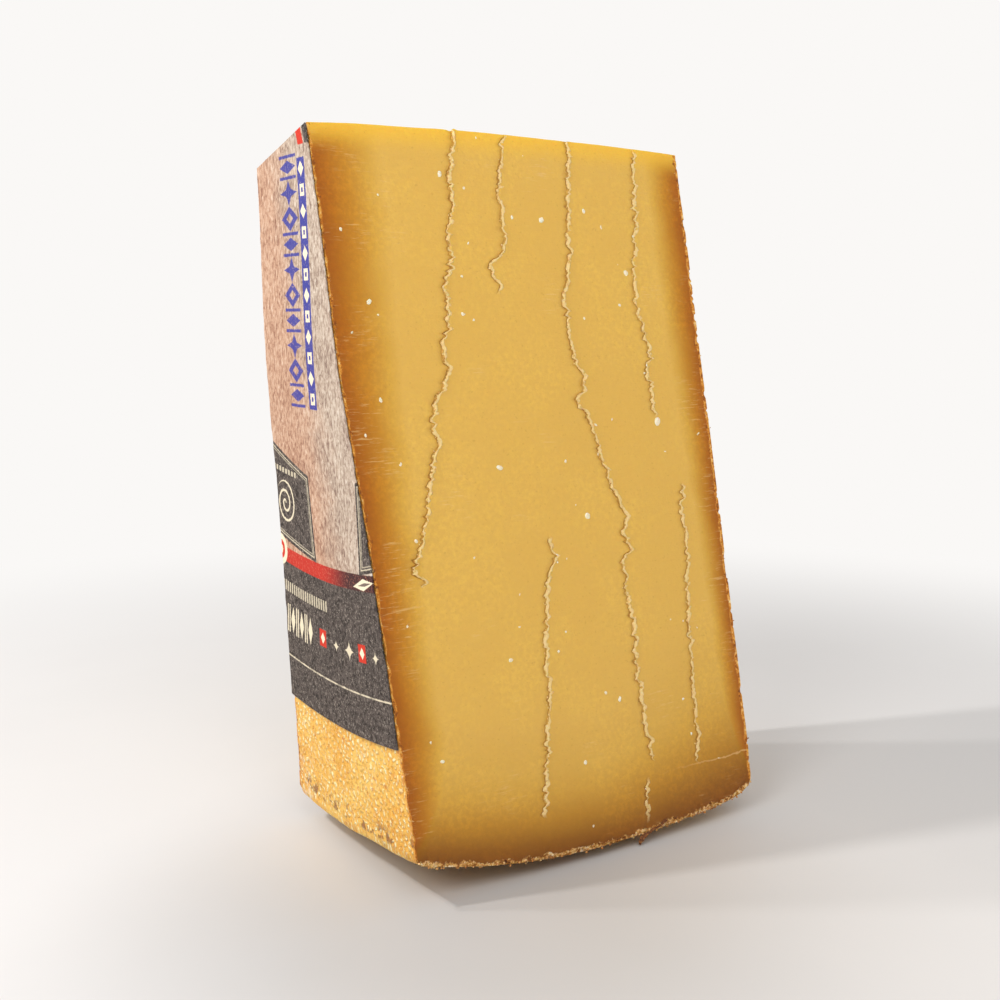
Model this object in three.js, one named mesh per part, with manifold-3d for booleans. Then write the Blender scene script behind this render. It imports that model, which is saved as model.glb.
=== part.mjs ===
// A wedge cut from a wheel of hard alpine-style cheese, standing on its heel,
// with the sector of the paper wheel label that was cut through with it.
//
// Millimetres, +Z up. The wheel's axis runs along X, above the wedge. The label is on the -X face.
// The origin is under the middle of the object's bounding box, on the surface it stands on.

import * as THREE from "three";
import { mergeVertices } from "three/addons/utils/BufferGeometryUtils.js";
import Module from "manifold-3d";

// The whole wheel.
const FACE_RADIUS = 275; // where the two flat faces end
const RIM_HALF = 55; // half the thickness at that radius
const DOME_SLOPE = 0.0247; // each face rises by this much for each millimetre towards the centre
const CROWN_RADIUS = 284.7; // the rim is barrelled: this is its largest radius
const LABEL_SIDE_SHOULDER = 277.8; // rim radius just inside the label side's corner
const BARE_SIDE_SHOULDER = 281.6; // rim radius just inside the bare side's corner
const CORNER_RADIUS = 3.2;
const LABEL_FACE_SWELL = 1.1; // the label face swells softly halfway up the wedge
const SWELL_RADIUS = 157;
const SWELL_SPREAD = 30;

// How the wedge stands and how it was cut from the wheel.
const BEARING_DEPTH = 1; // the crown is pressed flat by this much where the wedge rests
const HUB_Z = CROWN_RADIUS - BEARING_DEPTH; // height of the wheel's axis over the surface
const FRONT_LEAN = THREE.MathUtils.degToRad(13.68);
const BACK_LEAN = THREE.MathUtils.degToRad(2.52);
const TOP_Z = 189.3; // the middle of the top front edge
const TOP_FRONT_Y = -0.8; // measured from the plane under the hub
const TOP_DEPTH = 31.9; // from the top front edge to the top back edge, level
const NOSE_SLOPE = THREE.MathUtils.degToRad(14.2); // the nose cut falls towards the back
const NOSE_BOW = 1.4; // and from its middle to each face, in an arc
const NOSE_HALF = 59.4; // half the length of that arc's chord

// The paper label.
const LABEL_RADIUS = 249;
const LABEL_THICKNESS = 0.4;
const LABEL_GAP = 0.3; // clear space between the paper and the rind
const LABEL_INSET = 0.3; // the paper stops this far short of each cut

// How finely the round stretches are divided.
const TURN_STEPS = 480;
const FACE_STEPS = 20;
const CORNER_STEPS = 5;
const CROWN_STEPS = 14;
const BOW_STEPS = 24;
const RING_INNER_RADIUS = 60; // inside everything that the nose cut leaves

const wasm = await Module();
wasm.setup();

// A closed three.js geometry as a manifold-3d solid.
function solidFrom(geometry) {
  const bare = geometry.clone();
  bare.deleteAttribute("normal");
  bare.deleteAttribute("uv");
  const merged = mergeVertices(bare, 1e-4);
  return new wasm.Manifold(
    new wasm.Mesh({
      numProp: 3,
      vertProperties: new Float32Array(merged.attributes.position.array),
      triVerts: new Uint32Array(merged.index.array),
    }),
  );
}

// A manifold-3d solid as a three.js geometry.
function geometryFrom(solid) {
  const mesh = solid.getMesh();
  const geometry = new THREE.BufferGeometry();
  geometry.setAttribute("position", new THREE.BufferAttribute(mesh.vertProperties, 3));
  geometry.setIndex(new THREE.BufferAttribute(mesh.triVerts, 1));
  geometry.computeVertexNormals();
  return geometry;
}

// Half thickness of the wheel at a distance from its axis, on the bare side.
function bareHalf(radius) {
  return RIM_HALF + DOME_SLOPE * (FACE_RADIUS - radius);
}

// The same on the label side, with its swell.
function labelHalf(radius) {
  const away = (radius - SWELL_RADIUS) / SWELL_SPREAD;
  return bareHalf(radius) + LABEL_FACE_SWELL * Math.exp(-away * away);
}

// The rounded corner between a face and the rim: side is -1 at the label face, +1 at the bare face.
function cornerPoints(side, shoulder) {
  const centreRadius = shoulder - CORNER_RADIUS;
  const centreX = RIM_HALF - CORNER_RADIUS;
  const points = [];
  for (let i = 0; i <= CORNER_STEPS; i++) {
    const turn = (Math.PI / 2) * (i / CORNER_STEPS);
    points.push(
      new THREE.Vector2(
        centreRadius + CORNER_RADIUS * Math.sin(turn),
        side * (centreX + CORNER_RADIUS * Math.cos(turn)),
      ),
    );
  }
  return side < 0 ? points : points.reverse();
}

// The barrelled rim between the two corners: a parabola on each side of the crown.
function crownPoints() {
  const half = RIM_HALF - CORNER_RADIUS;
  const points = [];
  for (let i = 1; i < CROWN_STEPS; i++) {
    const across = -1 + (2 * i) / CROWN_STEPS;
    const shoulder = across < 0 ? LABEL_SIDE_SHOULDER : BARE_SIDE_SHOULDER;
    const drop = (CROWN_RADIUS - shoulder) * across * across;
    points.push(new THREE.Vector2(CROWN_RADIUS - drop, across * half));
  }
  return points;
}

// Points along a face, from the inner radius out (or in) to the start of its corner.
function facePoints(half, from, to) {
  const points = [];
  for (let i = 0; i <= FACE_STEPS; i++) {
    const radius = from + ((to - from) * i) / FACE_STEPS;
    points.push(new THREE.Vector2(radius, half(radius)));
  }
  return points;
}

// A closed profile of (radius, place along the axis) turned about the wheel's axis.
function turned(profile) {
  const closed = [...profile, profile[0].clone()];
  const geometry = new THREE.LatheGeometry(closed, TURN_STEPS);
  geometry.rotateZ(-Math.PI / 2);
  geometry.translate(0, 0, HUB_Z);
  return solidFrom(geometry);
}

// The ring of wheel that the wedge is cut from.
function wheelRing() {
  const labelFace = facePoints((r) => -labelHalf(r), RING_INNER_RADIUS, FACE_RADIUS - CORNER_RADIUS);
  const bareFace = facePoints(bareHalf, FACE_RADIUS - CORNER_RADIUS, RING_INNER_RADIUS);
  return turned([
    ...labelFace,
    ...cornerPoints(-1, LABEL_SIDE_SHOULDER),
    ...crownPoints(),
    ...cornerPoints(1, BARE_SIDE_SHOULDER),
    ...bareFace,
  ]);
}

// The ring of label paper, lying just clear of the label face.
function labelRing() {
  const inner = facePoints((r) => -labelHalf(r) - LABEL_GAP, LABEL_RADIUS, RING_INNER_RADIUS);
  const outer = facePoints(
    (r) => -labelHalf(r) - LABEL_GAP - LABEL_THICKNESS,
    RING_INNER_RADIUS,
    LABEL_RADIUS,
  );
  return turned([...inner, ...outer]);
}

// Height of the nose cut's middle line over the surface, drawn in by an inset.
function noseZ(y, inset) {
  return TOP_Z - inset - (y - TOP_FRONT_Y) * Math.tan(NOSE_SLOPE);
}

// The space between the front cut, the back cut and the surface it stands on, open at the top and
// drawn in at the two cuts by an inset.
function cutSpace(inset) {
  const above = TOP_Z + 5;
  const topBackY = TOP_FRONT_Y + TOP_DEPTH - inset;
  const frontY = (z) => TOP_FRONT_Y + inset - (TOP_Z - z) * Math.tan(FRONT_LEAN);
  const backY = (z) => topBackY - (noseZ(topBackY, inset) - z) * Math.tan(BACK_LEAN);
  const outline = new THREE.Shape([
    new THREE.Vector2(frontY(0), 0),
    new THREE.Vector2(backY(0), 0),
    new THREE.Vector2(backY(above), above),
    new THREE.Vector2(frontY(above), above),
  ]);
  const reach = 2 * RIM_HALF;
  const geometry = new THREE.ExtrudeGeometry(outline, { depth: 2 * reach, bevelEnabled: false });
  geometry.translate(0, 0, -reach);
  // The outline's (y, z) and the extrusion's depth become (Y, Z) and X.
  geometry.rotateY(Math.PI / 2);
  geometry.rotateX(Math.PI / 2);
  return solidFrom(geometry);
}

// The space under the nose cut, which is bowed across and slopes down towards the back.
function noseSpace(inset) {
  const bowRadius = (NOSE_HALF ** 2 + NOSE_BOW ** 2) / (2 * NOSE_BOW);
  const reach = 2 * RIM_HALF;
  const halfTurn = Math.asin(reach / bowRadius);
  const outline = new THREE.Shape();
  outline.moveTo(-reach, -4 * reach);
  outline.lineTo(reach, -4 * reach);
  outline.absarc(0, -bowRadius, bowRadius, Math.PI / 2 - halfTurn, Math.PI / 2 + halfTurn);
  const geometry = new THREE.ExtrudeGeometry(outline, {
    depth: 2 * reach,
    bevelEnabled: false,
    curveSegments: BOW_STEPS,
  });
  geometry.translate(0, 0, -reach);
  // The outline's (x, height) and the extrusion's depth become (X, Z) and -Y.
  geometry.rotateX(Math.PI / 2 - NOSE_SLOPE);
  geometry.translate(0, TOP_FRONT_Y, noseZ(TOP_FRONT_Y, inset));
  return solidFrom(geometry);
}

// All that the three cuts leave.
function wedgeSpace(inset) {
  return cutSpace(inset).intersect(noseSpace(inset));
}

// The paste with its rind: one piece of cheese.
function cheeseWedge() {
  const material = new THREE.MeshStandardMaterial({ color: 0xdaaa52, roughness: 0.5, metalness: 0 });
  const mesh = new THREE.Mesh(geometryFrom(wheelRing().intersect(wedgeSpace(0))), material);
  mesh.name = "cheese_wedge";
  return mesh;
}

// The sector of paper label on the -X face.
function label() {
  const material = new THREE.MeshStandardMaterial({ color: 0xc9b3a0, roughness: 0.85, metalness: 0 });
  const mesh = new THREE.Mesh(geometryFrom(labelRing().intersect(wedgeSpace(LABEL_INSET))), material);
  mesh.name = "label";
  return mesh;
}

const part = new THREE.Group();
part.add(cheeseWedge(), label());

// Bring the middle of the bounding box over the origin, without lifting it off the surface.
const middle = new THREE.Box3().setFromObject(part).getCenter(new THREE.Vector3());
part.children.forEach((piece) => piece.geometry.translate(-middle.x, -middle.y, 0));

export default part;
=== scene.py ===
"""A tall wedge of hard alpine-style cheese on its rind heel, with its sector of paper wheel label.

Blender works in metres. Shapes are worked out in millimetres round the wheel's hub, which is the
centre of the wheel that the wedge was cut from, and moved into the frame when a mesh is made.
"""

import math

import bpy
import numpy as np
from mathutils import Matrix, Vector, noise


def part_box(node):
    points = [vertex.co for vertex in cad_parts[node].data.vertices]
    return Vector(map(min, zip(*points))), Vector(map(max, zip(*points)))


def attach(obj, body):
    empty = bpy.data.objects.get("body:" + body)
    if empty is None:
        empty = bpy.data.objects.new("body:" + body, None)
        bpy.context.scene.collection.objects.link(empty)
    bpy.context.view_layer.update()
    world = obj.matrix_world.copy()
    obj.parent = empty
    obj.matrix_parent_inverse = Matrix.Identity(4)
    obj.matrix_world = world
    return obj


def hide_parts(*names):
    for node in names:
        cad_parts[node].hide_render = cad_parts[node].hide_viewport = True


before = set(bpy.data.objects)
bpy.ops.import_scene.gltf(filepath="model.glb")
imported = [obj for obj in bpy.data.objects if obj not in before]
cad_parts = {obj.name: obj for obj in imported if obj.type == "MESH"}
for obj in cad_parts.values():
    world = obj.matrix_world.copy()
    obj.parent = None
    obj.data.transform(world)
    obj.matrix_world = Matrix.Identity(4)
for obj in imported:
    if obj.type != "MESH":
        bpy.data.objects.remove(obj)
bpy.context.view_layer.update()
scene = bpy.context.scene
MM = 0.001

# ---------------------------------------------------------------------------------------------
# Camera. It stands a little to the left of the front cut, just above the wedge's middle, so that
# the label face shows as a narrow strip.
CAMERA_PLACE = (-0.1925, -0.2837, 0.1401)
CAMERA_TURN = math.radians(33.2)
CAMERA_DIP = math.radians(8.3)

camera_data = bpy.data.cameras.new("camera")
camera_data.lens = 45
camera_data.sensor_width = 36
camera_data.dof.use_dof = False
camera = bpy.data.objects.new("camera", camera_data)
camera.location = CAMERA_PLACE
camera.rotation_euler = (math.pi / 2 - CAMERA_DIP, 0, -CAMERA_TURN)
scene.collection.objects.link(camera)
scene.camera = camera


# ---------------------------------------------------------------------------------------------
# Studio. A plain pale floor with painted shade a little darker in front of the wedge, glowing the
# surround's white away from it, an even white surround, two small lamps high behind the label side
# that throw the long shadow, and two broad lamps from the label side and the front.
def tint(red, green, blue):
    """A colour given as display values from 0 to 255, as Blender's linear colour."""
    linear = []
    for value in (red, green, blue):
        share = value / 255
        linear.append(share / 12.92 if share <= 0.04045 else ((share + 0.055) / 1.055) ** 2.4)
    return (*linear, 1.0)


def node(tree, kind, inputs=None, **settings):
    """A new node with its settings, and with each input given a value or joined to a socket."""
    made = tree.nodes.new(kind)
    for name, value in settings.items():
        setattr(made, name, value)
    for socket, value in (inputs or {}).items():
        if isinstance(value, bpy.types.NodeSocket):
            tree.links.new(value, made.inputs[socket])
        else:
            made.inputs[socket].default_value = value
    return made


def sums(tree, operation, first, second=0.0, third=0.0):
    """The output of a Math node."""
    made = node(tree, "ShaderNodeMath", {0: first, 1: second}, operation=operation)
    if operation == "MULTIPLY_ADD":
        if isinstance(third, bpy.types.NodeSocket):
            tree.links.new(third, made.inputs[2])
        else:
            made.inputs[2].default_value = third
    return made.outputs[0]


def ranged(tree, value, low, high, to_low=0.0, to_high=1.0, smooth=True):
    """A value moved from one range to another and held inside it."""
    made = node(
        tree,
        "ShaderNodeMapRange",
        {"Value": value, "From Min": low, "From Max": high, "To Min": to_low, "To Max": to_high},
        interpolation_type="SMOOTHSTEP" if smooth else "LINEAR",
    )
    return made.outputs["Result"]


def mixed(tree, share, first, second, mode="MIX"):
    """Two colours blended by a share."""
    made = node(tree, "ShaderNodeMix", {0: share, 6: first, 7: second}, data_type="RGBA", blend_type=mode)
    return made.outputs[2]


def cloudy(tree, vector, scale, detail=3.0, roughness=0.55, distortion=0.0):
    """The factor of a noise texture."""
    made = node(
        tree,
        "ShaderNodeTexNoise",
        {
            "Vector": vector,
            "Scale": scale,
            "Detail": detail,
            "Roughness": roughness,
            "Distortion": distortion,
        },
    )
    return made.outputs["Fac"]


def new_material(name, **numbers):
    """A material with its Principled shader, whose plain numbers are set straight on it."""
    material = bpy.data.materials.new(name)
    material.use_nodes = True
    shader = material.node_tree.nodes["Principled BSDF"]
    for socket, value in numbers.items():
        shader.inputs[socket.replace("_", " ")].default_value = value
    return material, material.node_tree, shader


FLOOR_HALF = 4.0
floor_mesh = bpy.data.meshes.new("floor")
floor_mesh.from_pydata(
    [(x, y, 0) for x, y in ((-1, -1), (1, -1), (1, 1), (-1, 1))], [], [(0, 1, 2, 3)]
)
floor_mesh.transform(((FLOOR_HALF, 0, 0, 0), (0, FLOOR_HALF, 0, 0), (0, 0, 1, 0), (0, 0, 0, 1)))
floor = bpy.data.objects.new("floor", floor_mesh)
scene.collection.objects.link(floor)
floor_material, tree, shader = new_material("floor_pale", Roughness=0.5, Specular_IOR_Level=0.3)
place = node(tree, "ShaderNodeTexCoord").outputs["Object"]
away = node(tree, "ShaderNodeVectorMath", {0: place}, operation="LENGTH").outputs["Value"]
# Painted shade: the floor darkens round a spot just in front of the wedge.
painted_shade_centre_distance = node(tree, "ShaderNodeVectorMath", {0: place, 1: (-0.045, -0.05, 0)}, operation="DISTANCE")
painted_shade_falloff = ranged(tree, painted_shade_centre_distance.outputs["Value"], 0.02, 0.125)
clouds_and_painted_shade = sums(tree, "MULTIPLY_ADD", cloudy(tree, place, 9, 4), 0.3, sums(tree, "SUBTRACT", painted_shade_falloff, 0.15))
floor_colour_with_painted_shade = mixed(tree, clouds_and_painted_shade, tint(191, 189, 188), tint(224, 222, 221))
tree.links.new(floor_colour_with_painted_shade, shader.inputs["Base Color"])
# A painted glow: far from the wedge the floor gives off the surround's colour and blends into it.
floor_glow = node(tree, "ShaderNodeEmission", {"Color": tint(250, 248, 246), "Strength": 1.0})
glowing_floor = node(
    tree,
    "ShaderNodeMixShader",
    {0: ranged(tree, away, 0.17, 0.46), 1: shader.outputs[0], 2: floor_glow.outputs[0]},
)
tree.links.new(glowing_floor.outputs[0], tree.nodes["Material Output"].inputs["Surface"])
floor_mesh.materials.append(floor_material)

world = bpy.data.worlds.new("surround")
world.use_nodes = True
surround = world.node_tree
lit = node(surround, "ShaderNodeBackground", {"Color": (1.0, 0.99, 0.98, 1), "Strength": 0.52})
seen = node(surround, "ShaderNodeBackground", {"Color": tint(250, 248, 246), "Strength": 1.0})
ray = node(surround, "ShaderNodeLightPath").outputs["Is Camera Ray"]
lit_or_seen = node(surround, "ShaderNodeMixShader", {0: ray, 1: lit.outputs[0], 2: seen.outputs[0]})
surround.links.new(lit_or_seen.outputs[0], surround.nodes["World Output"].inputs["Surface"])
scene.world = world
scene.view_settings.view_transform = "Standard"

# Each lamp: name, turn round the wedge from +X, height angle, distance, width, watts, colour.
LAMPS = (
    ("high_lamp", 155, 45, 0.9, 0.045, 3.0, (1.0, 0.985, 0.965)),
    ("back_lamp", 141, 45, 1.0, 0.06, 1.8, (1.0, 0.985, 0.965)),
    ("left_lamp", 204, 32, 1.0, 0.45, 3.5, (1.0, 0.99, 0.975)),
    ("front_lamp", -112, 48, 1.3, 0.9, 3.85, (1.0, 0.99, 0.975)),
)
LAMP_AIM = Vector((0, 0, 0.09))
for lamp_name, turn, height, distance, width, watts, colour in LAMPS:
    lamp_data = bpy.data.lights.new(lamp_name, "AREA")
    lamp_data.shape = "DISK"
    lamp_data.size = width
    lamp_data.energy = watts
    lamp_data.color = colour
    lamp = bpy.data.objects.new(lamp_name, lamp_data)
    level = distance * math.cos(math.radians(height))
    lamp.location = LAMP_AIM + Vector(
        (
            level * math.cos(math.radians(turn)),
            level * math.sin(math.radians(turn)),
            distance * math.sin(math.radians(height)),
        )
    )
    lamp.rotation_euler = (LAMP_AIM - lamp.location).to_track_quat("-Z", "Y").to_euler()
    scene.collection.objects.link(lamp)

# ---------------------------------------------------------------------------------------------
# Cheese. One body of pressed and ripened paste with the rind that grew on it. It was cut from its
# wheel by three cuts, and the front and back cuts opened along the paste's own long cracks.
FACE_RADIUS = 275.0
RIM_HALF = 55.0
DOME_SLOPE = 0.0247
CROWN_RADIUS = 284.7
LABEL_SHOULDER = 277.8
BARE_SHOULDER = 281.6
CORNER = 3.2
SWELL = 1.1
SWELL_RADIUS = 157.0
SWELL_SPREAD = 30.0
HUB_Z = 283.7
FRONT_LEAN = math.radians(13.68)
BACK_LEAN = math.radians(2.52)
NOSE_SLOPE = math.radians(14.2)
TOP_Z = 189.3
TOP_FRONT_Y = -0.8
TOP_DEPTH = 31.9
NOSE_BOW = 1.4
NOSE_HALF = 59.4

cheese_low, cheese_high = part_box("cheese_wedge")
HUB_Y = cheese_high.y / MM - (TOP_FRONT_Y + TOP_DEPTH)
TOP_RADIUS = math.hypot(TOP_FRONT_Y, TOP_Z - NOSE_BOW - HUB_Z)
HUB_X = cheese_high.x / MM - (RIM_HALF + DOME_SLOPE * (FACE_RADIUS - TOP_RADIUS))


def bare_half(radius):
    """Half the wheel's thickness at a distance from the hub, on the bare side."""
    return RIM_HALF + DOME_SLOPE * (FACE_RADIUS - radius)


def label_half(radius):
    """The same on the label side, which swells a little halfway up the wedge."""
    return bare_half(radius) + SWELL * np.exp(-(((radius - SWELL_RADIUS) / SWELL_SPREAD) ** 2))


def crown_radius(x):
    """The barrelled rim's radius across the thickness, without its corners."""
    drop = np.where(x < 0, CROWN_RADIUS - LABEL_SHOULDER, CROWN_RADIUS - BARE_SHOULDER)
    return CROWN_RADIUS - drop * (x / (RIM_HALF - CORNER)) ** 2


def rim_radius(x):
    """The same with the rounded corners."""
    shoulder = np.where(x < 0, LABEL_SHOULDER, BARE_SHOULDER)
    into = np.clip(np.abs(x) - (RIM_HALF - CORNER), 0, CORNER)
    rounded = shoulder - CORNER + np.sqrt(np.maximum(CORNER**2 - into**2, 0))
    return np.where(into > 0, rounded, crown_radius(x))


def ripple(points, grain, seed):
    """Smooth noise at each point, between about -1 and 1, with features of the grain's size."""
    shift = Vector((seed * 17.3, seed * 5.1, seed * 9.7))
    return np.array([noise.noise(Vector(point) / grain + shift) for point in points.tolist()])


def line_ripple(places, grain, seed):
    """The same along a line."""
    return ripple(np.stack([places, places * 0, places * 0], axis=1), grain, seed)


def step(value, low, high):
    """0 below low, 1 above high, and a smooth rise between them."""
    share = np.clip((value - low) / (high - low), 0, 1)
    return share * share * (3 - 2 * share)


# Each crack line: its route down the front cut as (height, place across), the stretches where
# it is open as (top, bottom, depth), and its route on the back cut.
CRACKS = (
    (
        (
            (188, -17.5), (174, -21), (168, -20.4), (163, -23), (154, -23), (147, -26), (136, -26),
            (133, -29), (126, -27.7), (112, -34.8), (107, -33.3), (99, -37), (90, -38.7), (74.5, -45.8),
            (72.7, -42.4), (66, -48), (62, -50.7),
        ),
        ((195, 70, 1.0), (66, 61, 0.35)),
        ((182, -22), (120, -27), (60, -34)),
    ),
    (
        (
            (188, -1.8), (173, -5.8), (168, -4.9), (157, -6.6), (154.4, -11.2), (150.5, -10.5),
            (148.4, -8), (145.8, -10.6), (82, -3.7), (77.6, -2.5), (70, -6.6), (50, -10.6), (45, -9.5),
            (38, -11.9), (21.7, -14.9), (12.5, -17),
        ),
        ((190.5, 145, 0.7), (84, 12, 0.75)),
        ((182, -5), (120, -9), (60, -12)),
    ),
    (
        (
            (187, 19.8), (166, 16), (155, 14.8), (145, 11.1), (127.4, 12.1), (125.5, 14.3), (120, 13.7),
            (118.4, 10), (111.4, 14.9), (94.8, 18.9), (85.3, 22.9), (81.7, 20.5), (76.9, 23.1),
            (75.4, 19.4), (55, 19.6), (41, 18.9), (21, 20.2), (17, 17), (4, 15.4),
        ),
        ((191, 20, 0.9), (19, 4, 0.35)),
        ((182, 14), (120, 16), (30, 11)),
    ),
    (
        (
            (187, 43.4), (158, 38.3), (145, 36.4), (129, 39.3), (126, 37.3), (111, 38.3), (93.8, 44.4),
            (84.5, 42), (80, 43), (64, 41.2), (46.8, 38.7), (30, 37.5), (14.3, 35.6),
        ),
        ((190, 111, 0.6), (95, 15, 0.5)),
        ((182, 37), (120, 34), (60, 31)),
    ),
)
# Across a crack, from its left bank to its right: place, and height for a depth of 1.
CRACK_PROFILE = (
    (-2.6, 0.0),
    (-1.5, -0.06),
    (-0.8, -0.18),
    (-0.35, -0.28),
    (-0.1, -0.34),
    (0.15, -0.08),
    (0.5, 0.24),
    (1.05, 0.16),
    (1.9, 0.0),
)
EDGE_OFFSETS = (0.0, 0.35, 0.9, 1.7, 3.2)
GAP_COLUMNS = (14, 12, 11, 12, 9)
ROW_STEP = 0.62
LAYERS = 30


def crack_route(route, heights, seed):
    """A crack's place across at each height, wandering off its route as torn paste does."""
    tall, across = zip(*sorted(route))
    teeth = np.abs(line_ripple(heights, 2.1, seed + 3)) + 0.9 * np.abs(line_ripple(heights, 1.1, seed + 6))
    wander = 0.7 * line_ripple(heights, 5.0, seed) + 1.7 * (teeth - 0.3)
    return np.interp(heights, tall, across) - HUB_X + wander


def crack_depth(stretches, heights, seed):
    """How deep a crack is at each height: it fades at the ends of its stretches."""
    depth = np.zeros_like(heights)
    for top, bottom, most in stretches:
        inside = step(heights, bottom, bottom + 5) * (1 - step(heights, top - 5, top))
        depth = np.maximum(depth, most * inside)
    return depth * (0.9 + 0.5 * line_ripple(heights, 6.0, seed))


def cut_line(lean, offset, radius):
    """Where a cut meets a circle round the hub: the angle from straight down."""
    along = np.sqrt(radius**2 - offset**2)
    y = offset * math.cos(lean) - along * math.sin(lean)
    w = -offset * math.sin(lean) - along * math.cos(lean)
    return np.arctan2(y, -w)


top_back_y = TOP_FRONT_Y + TOP_DEPTH
top_back_w = TOP_Z - TOP_DEPTH * math.tan(NOSE_SLOPE) - HUB_Z
front_offset = TOP_FRONT_Y * math.cos(FRONT_LEAN) - (TOP_Z - HUB_Z) * math.sin(FRONT_LEAN)
back_offset = top_back_y * math.cos(BACK_LEAN) - top_back_w * math.sin(BACK_LEAN)

# Rows up the wedge, closer together near the heel and the top.
HEEL_EDGE_Z = 3
row_length = 190.0
rows_mm = np.concatenate(
    [[0, 0.35, 0.8, 1.4, 2.1], np.arange(2.9, row_length - 1.2, ROW_STEP), [row_length - 0.7, row_length]]
)
row_share = rows_mm / row_length
row_height = HEEL_EDGE_Z + row_share * (TOP_Z - HEEL_EDGE_Z)
row_radius = HUB_Z - row_height
row_half = bare_half(row_radius)
rows = len(row_share)


def column_layout(back):
    """Each column's place as a share of the half width, and its sinking, its offset from its crack
    and how open that crack is, at each row of the front or the back cut."""
    plain = np.zeros(rows)
    places, sinking, offsets, opened = [], [], [], []

    def add(where, sink=plain, offset=9.0, wide=plain):
        places.append(where)
        sinking.append(sink)
        offsets.append(plain + offset)
        opened.append(wide)

    for offset in EDGE_OFFSETS[:-1]:
        add(-row_half + offset)
    left = -row_half + EDGE_OFFSETS[-1]
    for number, (route, stretches, back_route) in enumerate(CRACKS):
        line = crack_route(back_route if back else route, row_height, 11 * number + 40 * back)
        line = np.clip(line, -row_half + 7, row_half - 7)
        wide = crack_depth(((189, 40 + 22 * number, 0.6),) if back else stretches, row_height, 5 * number)
        right = line + CRACK_PROFILE[0][0]
        for share in np.linspace(0, 1, GAP_COLUMNS[number], endpoint=False):
            add(left + (right - left) * share, offset=9.0 if share < 0.5 else -9.0)
        for across, height in CRACK_PROFILE:
            shake = 0.18 * line_ripple(row_height, 1.3, number + across + 70 * back)
            where = line + across + (shake if abs(across) < 1 else 0)
            add(where, height * wide, across, wide * (abs(across) < 2.7))
        left = places.pop()
        for kept in (sinking, offsets, opened):
            kept.pop()
    right = row_half - EDGE_OFFSETS[-1]
    for share in np.linspace(0, 1, GAP_COLUMNS[-1], endpoint=False):
        add(left + (right - left) * share)
    for offset in reversed(EDGE_OFFSETS):
        add(row_half - offset)
    return np.array(places) / row_half, np.array(sinking), np.array(offsets), np.array(opened)


front_share, front_sink, front_offset_of, front_open = column_layout(False)
back_share, back_sink, back_offset_of, back_open = column_layout(True)
columns = len(front_share)

# The surface points of a columns x rows x layers block.
column, row, layer = np.indices((columns, rows, LAYERS)).reshape(3, -1)
on_front, on_back = layer == 0, layer == LAYERS - 1
on_label, on_bare = column == 0, column == columns - 1
on_heel, on_nose = row == 0, row == rows - 1
skin = on_front | on_back | on_label | on_bare | on_heel | on_nose
column, row, layer = column[skin], row[skin], layer[skin]
on_front, on_back = on_front[skin], on_back[skin]
on_label, on_bare = on_label[skin], on_bare[skin]
on_heel, on_nose = on_heel[skin], on_nose[skin]

depth_share = layer / (LAYERS - 1)
share = front_share[column, row] * (1 - depth_share) + back_share[column, row] * depth_share
heel_share = front_share[column, 0] * (1 - depth_share) + back_share[column, 0] * depth_share
heel_radius = rim_radius(heel_share * RIM_HALF)
front_angle = cut_line(FRONT_LEAN, front_offset, heel_radius)
back_angle = cut_line(BACK_LEAN, back_offset, heel_radius)
angle = front_angle * (1 - depth_share) + back_angle * depth_share
heel_y = heel_radius * np.sin(angle)
heel_w = np.maximum(-heel_radius * np.cos(angle), -HUB_Z)
nose_y = TOP_FRONT_Y + TOP_DEPTH * depth_share
nose_w = TOP_Z - TOP_DEPTH * depth_share * math.tan(NOSE_SLOPE) - HUB_Z
up = row_share[row]
nose_w -= NOSE_BOW * (share * row_half[row] / NOSE_HALF) ** 2
y = heel_y + (nose_y - heel_y) * up
w = heel_w + (nose_w - heel_w) * up
radius = np.hypot(y, w)
x = share * np.where(share < 0, label_half(radius), bare_half(radius))
points = np.stack([x, y, w], axis=1)

# Depths in millimetres under the rind of the two faces, of the heel, and under the three cuts.
face_depth = np.where(x < 0, label_half(radius), bare_half(radius)) - np.abs(x)
heel_depth = crown_radius(np.clip(x, -RIM_HALF, RIM_HALF)) - radius
nose_depth = (TOP_Z - HUB_Z - w) * math.cos(NOSE_SLOPE) - (y - TOP_FRONT_Y) * math.sin(NOSE_SLOPE)
nose_depth -= NOSE_BOW * (x / NOSE_HALF) ** 2
front_depth = y * math.cos(FRONT_LEAN) - w * math.sin(FRONT_LEAN) - front_offset
back_depth = back_offset - (y * math.cos(BACK_LEAN) - w * math.sin(BACK_LEAN))

front_out = np.array([0, -math.cos(FRONT_LEAN), math.sin(FRONT_LEAN)])
back_out = np.array([0, math.cos(BACK_LEAN), -math.sin(BACK_LEAN)])
nose_out = np.array([0, math.sin(NOSE_SLOPE), math.cos(NOSE_SLOPE)])
label_out = np.array([-1.0, 0, 0])
bare_out = np.array([1.0, 0, 0])
heel_out = np.stack([np.zeros_like(y), y / radius, w / radius], axis=1)

# The cuts are not quite flat: the slabs between cracks stand a little proud of each other.
slab = ripple(points * [1, 0.2, 0.15], 19.0, 2)
broad = ripple(points, 34.0, 3)
fine = ripple(points, 3.1, 4)
cut_level = -0.42 + 0.16 * slab + 0.2 * broad + 0.035 * fine
sinking = np.where(depth_share < 0.5, front_sink[column, row], back_sink[column, row])
nose_sink = front_sink[column, -1] * (1 - depth_share) + back_sink[column, -1] * depth_share
sinking = np.where(on_front | on_back, sinking, np.where(on_nose, 0.8 * nose_sink, 0))
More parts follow.
